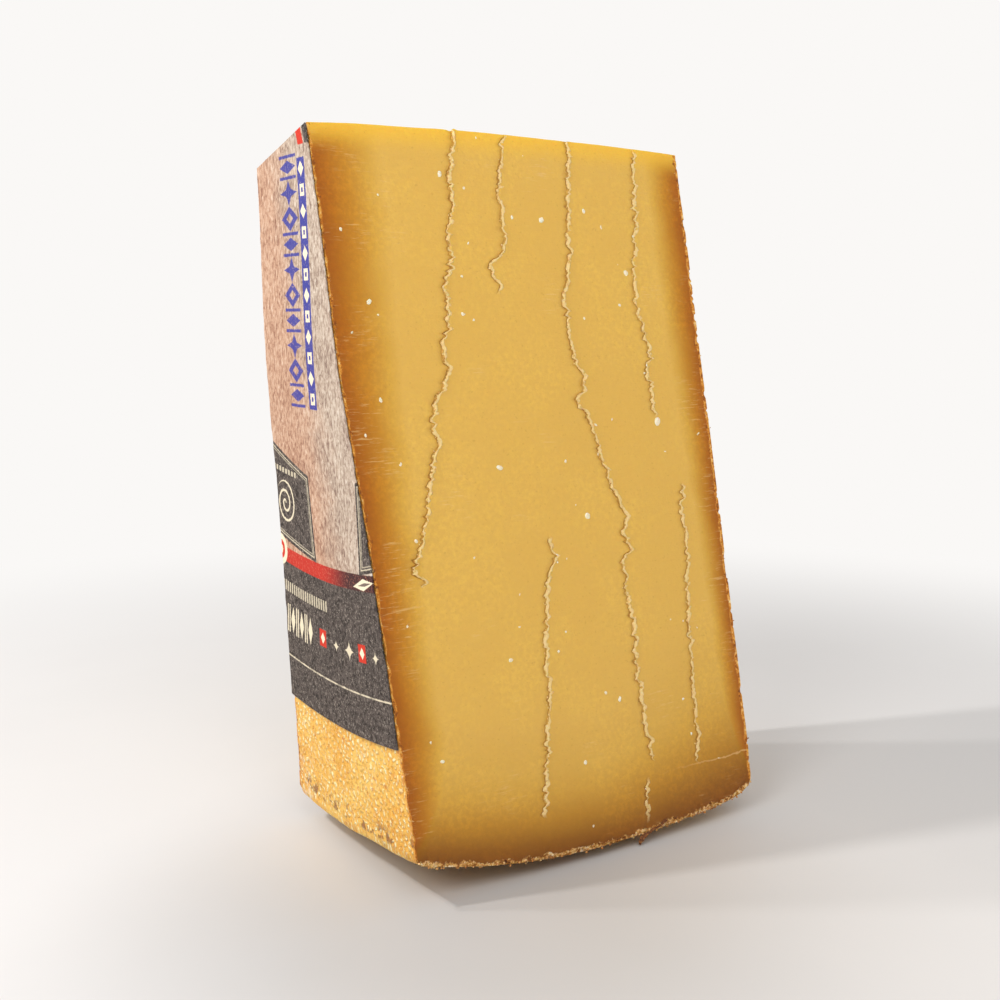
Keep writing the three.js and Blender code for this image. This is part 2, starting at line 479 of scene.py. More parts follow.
# How far across its crack each point is, and how open the crack is there, for the paste's colours.
near_front = depth_share < 0.5
crack_offset = np.where(near_front, front_offset_of[column, row], back_offset_of[column, row])
crack_open = np.where(on_front, front_open[column, row], np.where(on_back, back_open[column, row], 0))
nose_open = front_open[column, -1] * (1 - depth_share) + back_open[column, -1] * depth_share
crack_open = np.where(on_nose & ~on_front & ~on_back, 0.8 * nose_open, crack_open)

moved = points.copy()
for here, out, lift in ((on_front, front_out, 0.1), (on_back, back_out, -0.3), (on_nose, nose_out, 0.15)):
    moved[here] += ((cut_level + sinking + lift)[here])[:, None] * out

# The rind is leathery: its faces are dented a little, and its heel more.
dents = ripple(points, 9.0, 5)
pits = ripple(points, 2.4, 6)
rind_level = -0.16 + 0.11 * dents + 0.05 * pits
moved[on_label] += rind_level[on_label][:, None] * label_out
fullness = 0.08 + 0.3 * step(-points[:, 2], 100, 130)
moved[on_bare] += (rind_level + fullness)[on_bare][:, None] * bare_out
heel_level = (-0.3 + 0.22 * dents + 0.12 * pits) * step(points[:, 2] + HUB_Z, 0.05, 1.6)
# The label side's back corner sagged as the wheel ripened.
heel_level += 1.1 * step(-x, 25, 50) * step(y, -25, 15)
moved[on_heel] += heel_level[on_heel][:, None] * heel_out[on_heel]

# Where a cut meets the rind the rind tore: nibbled at the faces, ragged and crusty at the heel.
nibble = np.clip(2.4 * ripple(points, 3.1, 7) + 1.6 * ripple(points, 1.2, 8) - 0.45, 0, 1.3)
tear = np.clip(1.8 * ripple(points, 4.2, 9) + 1.6 * ripple(points, 1.4, 10) + 0.4, 0, 2.4)
on_cut = on_front | on_back | on_nose
for here, out, most in ((on_label, label_out, 0.5), (on_bare, bare_out, 1.1)):
    edge = here & on_cut
    moved[edge] -= (0.03 + most * nibble[edge])[:, None] * out
inward = np.where(on_front[:, None], front_out, back_out)
edge = on_heel & (on_front | on_back)
moved[edge] -= (0.1 + 0.8 * tear[edge])[:, None] * heel_out[edge]
moved[edge] -= (0.1 + 0.4 * tear[edge])[:, None] * inward[edge]
crusty = (on_front | on_back) & ~on_heel & (heel_depth < 3.2)
crumble = (ripple(points, 1.9, 12) + 0.9 * ripple(points, 0.9, 13)) * (1 - step(heel_depth, 1.8, 3.4))
moved[crusty] += (0.6 * crumble[crusty])[:, None] * inward[crusty]
# The bare side's bottom corner is worn round.
worn = step(x, 40, 57) ** 2 * (1 - step(heel_depth, 3, 16))
moved[:, 2] += 2.6 * worn
moved[:, 0] -= 0.9 * worn * step(x, 50, 56)

place_of = -np.ones((columns, rows, LAYERS), dtype=int)
place_of[column, row, layer] = np.arange(len(points))


def side_faces(sheet, turned):
    """The four-cornered faces over a sheet of point numbers."""
    corners = [sheet[:-1, :-1], sheet[1:, :-1], sheet[1:, 1:], sheet[:-1, 1:]]
    if turned:
        corners.reverse()
    return np.stack(corners, axis=-1).reshape(-1, 4)


PASTE, RIND = 0, 1
sides = (
    (side_faces(place_of[:, :, 0], False), PASTE),
    (side_faces(place_of[:, :, -1], True), PASTE),
    (side_faces(place_of[:, -1, :], False), PASTE),
    (side_faces(place_of[0, :, :], False), RIND),
    (side_faces(place_of[-1, :, :], True), RIND),
    (side_faces(place_of[:, 0, :], True), RIND),
)


def mesh_in_frame(name, hub_points, faces):
    """A mesh from points in millimetres round the hub."""
    mesh = bpy.data.meshes.new(name)
    shifted = (hub_points + [HUB_X, HUB_Y, HUB_Z]) * MM
    mesh.from_pydata(shifted.tolist(), [], faces)
    mesh.validate()
    return mesh


def hold_inside(mesh, room):
    """Keep a mesh's points inside the wedge's own box, with some room in millimetres."""
    flat = np.empty(3 * len(mesh.vertices))
    mesh.vertices.foreach_get("co", flat)
    low, high = np.array(cheese_low) + room * MM, np.array(cheese_high) - room * MM
    mesh.vertices.foreach_set("co", np.clip(flat.reshape(-1, 3), low, high).ravel())
    mesh.update()


cheese_mesh = mesh_in_frame("cheese", moved, np.concatenate([faces for faces, _ in sides]).tolist())
hold_inside(cheese_mesh, 0.0)
cheese_mesh.polygons.foreach_set(
    "material_index", np.concatenate([np.full(len(faces), slot) for faces, slot in sides])
)
cheese_mesh.polygons.foreach_set("use_smooth", np.ones(len(cheese_mesh.polygons), dtype=bool))
for name, values in (
    ("face_depth", face_depth),
    ("heel_depth", heel_depth),
    ("nose_depth", nose_depth),
    ("cut_depth", np.minimum(np.minimum(front_depth, back_depth), nose_depth)),
    ("crack_offset", crack_offset),
    ("crack_open", crack_open),
):
    cheese_mesh.attributes.new(name, "FLOAT", "POINT").data.foreach_set("value", values.astype(float))
cheese_mesh.set_sharp_from_angle(angle=math.radians(50))
cheese = bpy.data.objects.new("cheese", cheese_mesh)
scene.collection.objects.link(cheese)


def attribute(tree, name):
    """The number that a mesh attribute holds."""
    return node(tree, "ShaderNodeAttribute", attribute_name=name).outputs["Fac"]


def ramp(tree, value, stops):
    """A colour ramp from (place, colour) pairs."""
    made = node(tree, "ShaderNodeValToRGB", {0: value})
    elements = made.color_ramp.elements
    elements[0].position, elements[0].color = stops[0]
    elements[1].position, elements[1].color = stops[-1]
    for place_on, colour in stops[1:-1]:
        element = elements.new(place_on)
        element.color = colour
    return made.outputs["Color"]


# The paste: smooth, waxy and golden, browner towards the rind it dried through.
paste, tree, shader = new_material(
    "paste", Subsurface_Weight=0.2, Subsurface_Scale=0.003, Specular_IOR_Level=0.35, IOR=1.45
)
shader.inputs["Subsurface Radius"].default_value = (1.0, 0.55, 0.14)
place = node(tree, "ShaderNodeTexCoord").outputs["Object"]
spot = node(tree, "ShaderNodeSeparateXYZ", {0: place})
waver = sums(tree, "MULTIPLY_ADD", cloudy(tree, place, 70, 4), 4.0, -2.0)
side_reach = sums(
    tree,
    "MULTIPLY",
    ranged(tree, spot.outputs[0], -0.05, 0.05, 16.5, 11.0),
    ranged(tree, spot.outputs[2], 0.05, 0.17, 0.8, 1.18),
)
under_face = sums(tree, "ADD", attribute(tree, "face_depth"), waver)
under_heel = sums(tree, "ADD", attribute(tree, "heel_depth"), sums(tree, "MULTIPLY", waver, 0.6))
side_colour = ramp(
    tree,
    sums(tree, "DIVIDE", under_face, side_reach),
    (
        (0.0, tint(158, 84, 10)),
        (0.22, tint(176, 106, 18)),
        (0.45, tint(194, 132, 36)),
        (0.75, tint(214, 164, 66)),
        (1.0, tint(226, 180, 86)),
    ),
)
heel_reach = ranged(tree, spot.outputs[0], 0.0, 0.055, 36.0, 56.0)
heel_colour = ramp(
    tree,
    sums(tree, "DIVIDE", under_heel, heel_reach),
    (
        (0.03, tint(128, 74, 14)),
        (0.12, tint(150, 96, 24)),
        (0.27, tint(186, 132, 42)),
        (0.46, tint(211, 161, 66)),
        (0.62, tint(219, 172, 78)),
        (1.0, tint(226, 180, 88)),
    ),
)
base = mixed(tree, 1.0, side_colour, heel_colour, "DARKEN")
# Painted glow: the paste is brighter and yellower along the top edge, standing in for light shining through
# the thin paste.
painted_edge_glow = ranged(tree, attribute(tree, "nose_depth"), 0, 8, 0.85, 0.0)
base = mixed(tree, painted_edge_glow, base, tint(246, 194, 64))
mottle = ranged(tree, cloudy(tree, place, 800, 5, 0.66), 0.42, 0.66, smooth=False)
grain_patches = ranged(tree, cloudy(tree, place, 38, 3), 0.42, 0.62, 0.15, 0.55)
base = mixed(tree, sums(tree, "MULTIPLY", mottle, grain_patches), base, tint(236, 222, 196), "SOFT_LIGHT")
specks = ranged(tree, cloudy(tree, place, 1300, 2, 0.5), 0.64, 0.74)
base = mixed(tree, sums(tree, "MULTIPLY", specks, 0.22), base, tint(176, 120, 48))
drag = node(tree, "ShaderNodeMapping", {"Vector": place, "Scale": (0.22, 1, 2.4)}).outputs[0]
rim_share = ranged(tree, attribute(tree, "face_depth"), 2.0, 17.0, 1, 0)
smears = sums(
    tree,
    "MULTIPLY",
    ranged(tree, cloudy(tree, drag, 800, 4, 0.7), 0.53, 0.68),
    ranged(tree, sums(tree, "MULTIPLY_ADD", rim_share, 0.12, cloudy(tree, place, 60, 3)), 0.58, 0.7),
)
base = mixed(tree, sums(tree, "MULTIPLY", smears, 0.4), base, tint(240, 204, 138))

# A knife's scratch runs level into the cut from the bare side.
scratch_rise = sums(tree, "MULTIPLY_ADD", cloudy(tree, place, 130, 4, 0.7), 0.003, spot.outputs[2])
scratch_off = sums(tree, "ABSOLUTE", sums(tree, "SUBTRACT", scratch_rise, 0.019))
scratch_reach = sums(tree, "MULTIPLY_ADD", cloudy(tree, place, 300, 3), 0.02, spot.outputs[0])
scratch = sums(
    tree,
    "MULTIPLY",
    ranged(tree, scratch_off, 0.00008, 0.0003, 1, 0),
    ranged(tree, scratch_reach, 0.032, 0.058),
)
base = mixed(tree, sums(tree, "MULTIPLY", scratch, 0.55), base, tint(232, 186, 122))

# Its cracks: painted shade on the left bank, a dark gap painted as shade, and a pale torn lip on the right,
# the torn paste's own colour with a painted highlight where it faces the light.
fray = sums(
    tree,
    "ADD",
    sums(tree, "MULTIPLY_ADD", cloudy(tree, place, 480, 2, 0.5), 1.7, -0.85),
    sums(tree, "MULTIPLY_ADD", cloudy(tree, place, 1500, 3, 0.65), 0.9, -0.45),
)
across = sums(tree, "ADD", attribute(tree, "crack_offset"), fray)
open_share = attribute(tree, "crack_open")
is_open = ranged(tree, open_share, 0.06, 0.3)
lip_width = sums(tree, "MULTIPLY_ADD", cloudy(tree, place, 420, 3, 0.6), 4.0, -1.1)
lip_and_highlight = sums(
    tree,
    "MULTIPLY",
    ranged(tree, across, -0.04, 0.1),
    ranged(tree, sums(tree, "SUBTRACT", across, lip_width), -0.25, 0.12, 1, 0),
)
# Painted shade: the gap's dark colour stands in for the shadow down in the crack.
gap = sums(tree, "MULTIPLY", ranged(tree, across, -0.5, -0.2), ranged(tree, across, -0.08, 0.04, 1, 0))
# Painted shade on the left bank, which falls away from the light.
painted_bank_shade = sums(tree, "MULTIPLY", ranged(tree, across, -2.0, -0.3), ranged(tree, across, -0.1, 0.05, 1, 0))
lip_and_highlight = sums(tree, "MULTIPLY", lip_and_highlight, is_open)
gap = sums(tree, "MULTIPLY", gap, is_open)
painted_bank_shade = sums(tree, "MULTIPLY", painted_bank_shade, is_open)
# The lip is the pale colour of torn paste with a painted highlight where it faces the light.
lip_and_highlight_tone = mixed(tree, cloudy(tree, place, 1700, 2), tint(234, 194, 114), tint(252, 230, 178))
gap_shade_share = ranged(tree, cloudy(tree, place, 260, 3), 0.35, 0.62, 0.1, 0.6)
base = mixed(tree, sums(tree, "MULTIPLY", painted_bank_shade, 0.35), base, tint(196, 140, 54))
base = mixed(tree, sums(tree, "MULTIPLY", lip_and_highlight, 0.85), base, lip_and_highlight_tone)
base = mixed(tree, sums(tree, "MULTIPLY", gap, gap_shade_share), base, tint(150, 94, 30))

# The rind cut through: a thin orange-brown line at the faces, a tan crust at the heel.
rind_grain = cloudy(tree, place, 1100, 4, 0.7)
ragged = sums(tree, "MULTIPLY_ADD", cloudy(tree, place, 350, 4, 0.7), 3.6, -1.8)
line_width = ranged(tree, spot.outputs[0], -0.05, 0.05, 0.7, 0.9)
line_depth = sums(tree, "SUBTRACT", sums(tree, "ADD", attribute(tree, "face_depth"), ragged), line_width)
face_line = ranged(tree, line_depth, -0.15, 0.2, 1, 0)
line_colour = ramp(
    tree,
    cloudy(tree, place, 700, 4, 0.7),
    (
        (0.36, tint(128, 68, 16)),
        (0.47, tint(200, 122, 32)),
        (0.57, tint(238, 176, 80)),
        (0.68, tint(255, 228, 168)),
    ),
)
base = mixed(tree, sums(tree, "MULTIPLY", face_line, 0.92), base, line_colour)
crust_depth = sums(
    tree,
    "ADD",
    attribute(tree, "heel_depth"),
    sums(tree, "MULTIPLY_ADD", cloudy(tree, place, 300, 5, 0.75), 5.0, -2.5),
)
crust = ranged(tree, crust_depth, 1.3, 1.6, 1, 0)
crust_lumps = sums(tree, "MULTIPLY", cloudy(tree, place, 330, 4, 0.7), 0.4)
crust_colour = ramp(
    tree,
    sums(tree, "MULTIPLY_ADD", rind_grain, 0.6, crust_lumps),
    (
        (0.38, tint(84, 42, 12)),
        (0.46, tint(162, 102, 40)),
        (0.53, tint(222, 170, 100)),
        (0.62, tint(252, 228, 186)),
    ),
)
base = mixed(tree, crust, base, crust_colour)
underline = ranged(tree, sums(tree, "ADD", attribute(tree, "heel_depth"), rind_grain), 0.75, 1.15, 1, 0)
base = mixed(tree, sums(tree, "MULTIPLY", underline, 0.75), base, tint(110, 58, 18))
tree.links.new(base, shader.inputs["Base Color"])
dull = ranged(tree, cloudy(tree, place, 120, 4), 0.3, 0.7, 0.36, 0.5)
rough = sums(tree, "MAXIMUM", dull, sums(tree, "MULTIPLY", sums(tree, "MAXIMUM", lip_and_highlight, crust), 0.85))
tree.links.new(rough, shader.inputs["Roughness"])
skin_bump = sums(
    tree,
    "ADD",
    sums(tree, "MULTIPLY", cloudy(tree, drag, 900, 4, 0.6), 0.3),
    sums(tree, "MULTIPLY", cloudy(tree, place, 1500, 3, 0.6), 0.3),
)
torn_bump = sums(
    tree,
    "ADD",
    sums(tree, "MULTIPLY", sums(tree, "SUBTRACT", lip_and_highlight, sums(tree, "MULTIPLY", gap, 1.6)), 0.9),
    sums(tree, "MULTIPLY", sums(tree, "MAXIMUM", crust, lip_and_highlight), sums(tree, "MULTIPLY", rind_grain, 2.5)),
)
relief = node(
    tree,
    "ShaderNodeBump",
    {"Height": sums(tree, "ADD", skin_bump, torn_bump), "Strength": 0.6, "Distance": 0.0003},
)
tree.links.new(relief.outputs[0], shader.inputs["Normal"])

# The rind: washed orange-yellow skin that kept the print of its pressing cloth.
cloth = bpy.data.node_groups.new("cloth_print", "ShaderNodeTree")
cloth.interface.new_socket("Vector", in_out="INPUT", socket_type="NodeSocketVector")
cloth.interface.new_socket("Pitch", in_out="INPUT", socket_type="NodeSocketFloat")
cloth.interface.new_socket("Grain", in_out="OUTPUT", socket_type="NodeSocketFloat")
entry = node(cloth, "NodeGroupInput")
leave = node(cloth, "NodeGroupOutput")
sway = node(
    cloth,
    "ShaderNodeTexNoise",
    {"Vector": entry.outputs["Vector"], "Scale": 240.0, "Detail": 4.0, "Roughness": 0.7},
)
swayed = node(
    cloth,
    "ShaderNodeVectorMath",
    {0: sway.outputs["Color"], 1: (0.0052, 0.0052, 0.0052), 2: entry.outputs["Vector"]},
    operation="MULTIPLY_ADD",
)
apart = node(cloth, "ShaderNodeSeparateXYZ", {0: swayed.outputs[0]})
turns = sums(cloth, "DIVIDE", math.pi, entry.outputs["Pitch"])
weft = sums(cloth, "MULTIPLY", apart.outputs[0], turns)
warp = sums(cloth, "MULTIPLY", apart.outputs[1], turns)
over = sums(cloth, "MULTIPLY", sums(cloth, "SINE", weft), sums(cloth, "COSINE", warp))
under = sums(cloth, "MULTIPLY", sums(cloth, "COSINE", weft), sums(cloth, "SINE", warp))
grain = sums(cloth, "MAXIMUM", sums(cloth, "ABSOLUTE", over), sums(cloth, "ABSOLUTE", under))
cloth.links.new(grain, leave.inputs["Grain"])

rind, tree, shader = new_material("rind", Subsurface_Weight=0.08, Subsurface_Scale=0.002)
shader.inputs["Subsurface Radius"].default_value = (1.0, 0.5, 0.15)
wrap = node(tree, "ShaderNodeUVMap", uv_map="rind_wrap").outputs[0]
turned_wrap = node(tree, "ShaderNodeMapping", {"Vector": wrap, "Rotation": (0, 0, math.radians(24))})
print_node = node(tree, "ShaderNodeGroup", node_tree=cloth)
tree.links.new(turned_wrap.outputs[0], print_node.inputs["Vector"])
print_node.inputs["Pitch"].default_value = 0.0027
grains = ranged(tree, print_node.outputs["Grain"], 0.62, 0.97)
place = node(tree, "ShaderNodeTexCoord").outputs["Object"]
patches = cloudy(tree, place, 42, 4, 0.6)
flecks = cloudy(tree, place, 900, 3, 0.65)
ground = ramp(
    tree,
    sums(tree, "MULTIPLY_ADD", flecks, 0.6, sums(tree, "MULTIPLY_ADD", patches, 0.8, -0.25)),
    (
        (0.15, tint(198, 112, 26)),
        (0.4, tint(236, 172, 60)),
        (0.75, tint(252, 218, 118)),
    ),
)
kept_print = ranged(tree, cloudy(tree, place, 70, 3), 0.25, 0.5, 0.3, 1.0)
each_grain = ranged(tree, cloudy(tree, place, 480, 4, 0.7), 0.4, 0.58, 0.0, 1.0)
print_share = sums(tree, "MULTIPLY", sums(tree, "MULTIPLY", grains, kept_print), each_grain)
base = mixed(tree, print_share, ground, tint(255, 242, 190))
pocks = ranged(tree, cloudy(tree, place, 560, 4, 0.7), 0.57, 0.68)
base = mixed(tree, sums(tree, "MULTIPLY", pocks, 0.8), base, tint(202, 116, 26))
bloom = sums(
    tree,
    "MULTIPLY",
    ranged(tree, cloudy(tree, place, 55, 4, 0.6), 0.56, 0.7),
    ranged(tree, cloudy(tree, place, 800, 3, 0.6), 0.42, 0.6),
)
base = mixed(tree, sums(tree, "MULTIPLY", bloom, 0.75), base, tint(250, 236, 208))
shoulder_band = sums(
    tree,
    "MULTIPLY",
    ranged(tree, attribute(tree, "heel_depth"), 2.2, 3.6),
    ranged(tree, attribute(tree, "heel_depth"), 5.0, 8.0, 1, 0),
)
spots = sums(tree, "MULTIPLY", shoulder_band, ranged(tree, cloudy(tree, place, 300, 4, 0.65), 0.5, 0.58))
base = mixed(tree, sums(tree, "MULTIPLY", spots, 0.8), base, tint(132, 72, 30))
cut_line_share = ranged(tree, attribute(tree, "cut_depth"), 0.2, 1.1, 1, 0)
base = mixed(tree, sums(tree, "MULTIPLY", cut_line_share, 0.6), base, tint(214, 132, 38))
tree.links.new(base, shader.inputs["Base Color"])
tree.links.new(ranged(tree, grains, 0, 1, 0.55, 0.8), shader.inputs["Roughness"])
rind_height = sums(tree, "MULTIPLY_ADD", flecks, 0.7, sums(tree, "MULTIPLY", grains, 0.8))
relief = node(tree, "ShaderNodeBump", {"Height": rind_height, "Strength": 1.0, "Distance": 0.0005})
tree.links.new(relief.outputs[0], shader.inputs["Normal"])

cheese_mesh.materials.append(paste)
cheese_mesh.materials.append(rind)
# The cloth lay flat on each face and round the heel, so the print is mapped the same way.
wrap_layer = cheese_mesh.uv_layers.new(name="rind_wrap")
corner_point = np.empty(len(cheese_mesh.loops), dtype=int)
cheese_mesh.loops.foreach_get("vertex_index", corner_point)
side_of_corner = np.repeat(np.arange(len(sides)), [4 * len(faces) for faces, _ in sides])
along_rim = np.arctan2(y, -w) * CROWN_RADIUS
heel_side = len(sides) - 1
across_wrap = np.where(side_of_corner == heel_side, x[corner_point], y[corner_point])
up_wrap = np.where(side_of_corner == heel_side, along_rim[corner_point], w[corner_point])
wrap_layer.data.foreach_set("uv", (np.stack([across_wrap, up_wrap], axis=1) * MM).ravel())

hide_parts("cheese_wedge")
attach(cheese, "root")

# ---------------------------------------------------------------------------------------------
# Crystals and crumbs. Hard white crystals that grew in the paste, cut through and standing a
# little proud, and crumbs of paste and rind left on the cracks' lips and the heel's torn edge.
def scatter(name, flat):
    """A node group that puts a small rough grain on every point, sized and turned by the points."""
    group = bpy.data.node_groups.new(name, "GeometryNodeTree")
    for label_text, kind in (
        ("Geometry", "NodeSocketGeometry"),
        ("Seed", "NodeSocketInt"),
        ("Roughen", "NodeSocketFloat"),
        ("Material", "NodeSocketMaterial"),
    ):
        group.interface.new_socket(label_text, in_out="INPUT", socket_type=kind)
    group.interface.new_socket("Geometry", in_out="OUTPUT", socket_type="NodeSocketGeometry")
    start = node(group, "NodeGroupInput")
    end = node(group, "NodeGroupOutput")
    size = node(group, "GeometryNodeInputNamedAttribute", {"Name": "size"}, data_type="FLOAT")
    facing = node(group, "GeometryNodeInputNamedAttribute", {"Name": "facing"}, data_type="FLOAT_VECTOR")
    turn = node(
        group,
        "FunctionNodeAlignRotationToVector",
        {"Vector": facing.outputs["Attribute"]},
        axis="Z",
    )
    most_spin = (0, 0, 6.28) if flat else (6.28, 6.28, 6.28)
    spin = node(
        group,
        "FunctionNodeRandomValue",
        {"Min": (0, 0, 0), "Max": most_spin, "Seed": start.outputs["Seed"]},
        data_type="FLOAT_VECTOR",
    )
    spun = node(
        group,
        "FunctionNodeRotateRotation",
        {"Rotation": turn.outputs[0], "Rotate By": spin.outputs["Value"]},
        rotation_space="LOCAL",
    )
    spread = node(
        group,
        "FunctionNodeRandomValue",
        {
            "Min": (0.7, 0.5, 0.28) if flat else (0.5, 0.35, 0.35),
            "Max": (1.2, 0.9, 0.4) if flat else (1.3, 0.9, 0.8),
            "Seed": start.outputs["Seed"],
        },
        data_type="FLOAT_VECTOR",
    )
    scaled = node(
        group,
        "ShaderNodeVectorMath",
        {0: spread.outputs["Value"], "Scale": size.outputs["Attribute"]},
        operation="SCALE",
    )
    grain_shape = node(group, "GeometryNodeMeshIcoSphere", {"Radius": 1.0, "Subdivisions": 2})
    placed = node(
        group,
        "GeometryNodeInstanceOnPoints",
        {
            "Points": start.outputs["Geometry"],
            "Instance": grain_shape.outputs["Mesh"],
            "Rotation": spun.outputs[0],
            "Scale": scaled.outputs[0],
        },
    )
    real = node(group, "GeometryNodeRealizeInstances", {"Geometry": placed.outputs[0]})
    spot_on = node(group, "GeometryNodeInputPosition")
    wobble = node(
        group,
        "ShaderNodeTexNoise",
        {"Vector": spot_on.outputs[0], "Scale": 1900.0, "Detail": 2.0},
    )
    centred = node(
        group,
        "ShaderNodeVectorMath",
        {0: wobble.outputs["Color"], 1: (0.5, 0.5, 0.5)},
        operation="SUBTRACT",
    )
    shift = node(
        group,
        "ShaderNodeVectorMath",
        {0: centred.outputs[0], "Scale": start.outputs["Roughen"]},
        operation="SCALE",
    )
    rough_shape = node(
        group,
        "GeometryNodeSetPosition",
        {"Geometry": real.outputs[0], "Offset": shift.outputs[0]},
    )
    dressed = node(
        group,
        "GeometryNodeSetMaterial",
        {"Geometry": rough_shape.outputs[0], "Material": start.outputs["Material"]},
    )
    group.links.new(dressed.outputs[0], end.inputs["Geometry"])
    return group


def scattered(name, group, hub_points, sizes, facings, seed, roughen, material):
    """The plain mesh object that a scatter group makes on these points."""
    points_mesh = mesh_in_frame(name + "_points", hub_points, [])
    points_mesh.attributes.new("size", "FLOAT", "POINT").data.foreach_set("value", sizes * MM)
    facing_layer = points_mesh.attributes.new("facing", "FLOAT_VECTOR", "POINT")
    facing_layer.data.foreach_set("vector", facings.ravel())
    maker = bpy.data.objects.new(name + "_points", points_mesh)
    scene.collection.objects.link(maker)
    modifier = maker.modifiers.new("scatter", "NODES")
    modifier.node_group = group
    for item in group.interface.items_tree:
        if item.in_out == "INPUT" and item.name in {"Seed", "Roughen", "Material"}:
            value = {"Seed": seed, "Roughen": roughen, "Material": material}[item.name]
            modifier[item.identifier] = value
    made = bpy.data.meshes.new_from_object(maker.evaluated_get(bpy.context.evaluated_depsgraph_get()))
    made.name = name
    maker.modifiers.clear()
    bpy.data.objects.remove(maker)
    piece = bpy.data.objects.new(name, made)
    scene.collection.objects.link(piece)
    return piece


outward = np.where(on_front[:, None], front_out, np.where(on_back[:, None], back_out, nose_out))
chance = np.random.default_rng(7)


def nearest_on_front(height, across):
    """The front cut's mesh point nearest to a place on it."""
    gap = np.hypot(moved[:, 0] + HUB_X - across, moved[:, 2] + HUB_Z - height) + 999 * ~on_front
    return int(np.argmin(gap))


# The larger crystals on the front cut, as (height, place across, size), then chance ones.
MARKED = (
    (177, -23, 0.75), (162, -52.5, 0.6), (144, -48, 0.6), (141, -21, 0.55), (120, -48, 0.6),
    (104, -45, 0.5), (101, -16, 0.85), (167, -2.8, 0.6), (166, 6.8, 0.8), (170, 22, 0.8),
    (165.5, 28.5, 0.5), (153, 35, 0.75), (143.5, 30, 0.6), (111, 38.6, 1.0), (86.7, 9.3, 0.95),
    (85.5, -43.7, 0.6), (54, -20, 0.6), (38.6, 12, 0.5), (32.4, -43, 0.6), (24.3, -0.6, 0.5),
)
chosen = [nearest_on_front(height, across) for height, across, _ in MARKED]
sizes = [size for _, _, size in MARKED]
open_paste = np.flatnonzero(on_cut & (face_depth > 4) & (heel_depth > 5))
for point in chance.choice(open_paste, 90, replace=False):
    chosen.append(int(point))
    sizes.append(chance.uniform(0.22, 0.42) if on_front[point] else chance.uniform(0.3, 0.8))
sizes = 1.35 * np.array(sizes)
jitter = chance.uniform(-0.3, 0.3, (len(chosen), 3)) * [1, 0, 1]
crystal_points = moved[chosen] + jitter - 0.12 * sizes[:, None] * outward[chosen]

crystal, tree, shader = new_material(
    "crystal", Roughness=0.55, Subsurface_Weight=0.2, Subsurface_Scale=0.001
)
place = node(tree, "ShaderNodeTexCoord").outputs["Object"]
grit = ranged(tree, cloudy(tree, place, 2200, 3, 0.6), 0.3, 0.7)
tree.links.new(mixed(tree, grit, tint(244, 222, 176), tint(255, 248, 230)), shader.inputs["Base Color"])
relief = node(tree, "ShaderNodeBump", {"Height": grit, "Strength": 0.5, "Distance": 0.0001})
tree.links.new(relief.outputs[0], shader.inputs["Normal"])
flat_scatter = scatter("flat_grains", True)
crystals = scattered(
    "crystals", flat_scatter, crystal_points, sizes, outward[chosen], 3, 0.0005, crystal
)
hold_inside(crystals.data, 0.05)
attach(crystals, "root")

crumb, tree, shader = new_material("crumb", Roughness=0.7, Subsurface_Weight=0.2, Subsurface_Scale=0.001)
place = node(tree, "ShaderNodeTexCoord").outputs["Object"]
crumb_spot = node(tree, "ShaderNodeSeparateXYZ", {0: place})
grit = cloudy(tree, place, 700, 4, 0.7)
paste_crumb = ramp(
    tree,
    grit,
    (
        (0.3, tint(214, 160, 76)),
        (0.5, tint(238, 198, 124)),
        (0.7, tint(250, 226, 172)),
    ),
)
rind_crumb = ramp(
    tree,
    grit,
    (
        (0.3, tint(122, 72, 28)),
        (0.5, tint(190, 128, 62)),
        (0.68, tint(236, 196, 138)),
    ),
)
by_heel = ranged(tree, crumb_spot.outputs[2], 0.007, 0.014, 1, 0)
by_face = ranged(tree, sums(tree, "ABSOLUTE", crumb_spot.outputs[0]), 0.053, 0.055)
by_rind = sums(tree, "MAXIMUM", by_heel, by_face)
tree.links.new(mixed(tree, by_rind, paste_crumb, rind_crumb), shader.inputs["Base Color"])
on_lips = np.flatnonzero((on_front | on_back) & (np.abs(crack_offset - 0.3) < 0.65) & (crack_open > 0.2))
on_crust = np.flatnonzero((on_front | on_back) & (heel_depth < 1.1))
on_sides = np.flatnonzero((on_front | on_back) & (face_depth < 1.0) & (heel_depth > 6))
picked = np.concatenate(
    [
        chance.choice(on_lips, 1100),
        chance.choice(on_crust, 620),
        chance.choice(on_sides, 200),
    ]
)
crumb_sizes = 0.1 + 0.28 * chance.random(len(picked)) ** 2
crumb_sizes *= np.where(heel_depth[picked] < 3, 1.5, 1.0)
jitter = chance.uniform(-0.35, 0.35, (len(picked), 3)) * [1, 0.2, 1]
crumb_points = moved[picked] + jitter - 0.05 * outward[picked]
loose_scatter = scatter("loose_grains", False)
crumbs = scattered(
    "crumbs", loose_scatter, crumb_points, crumb_sizes, outward[picked], 5, 0.0003, crumb
)
hold_inside(crumbs.data, 0.05)
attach(crumbs, "root")

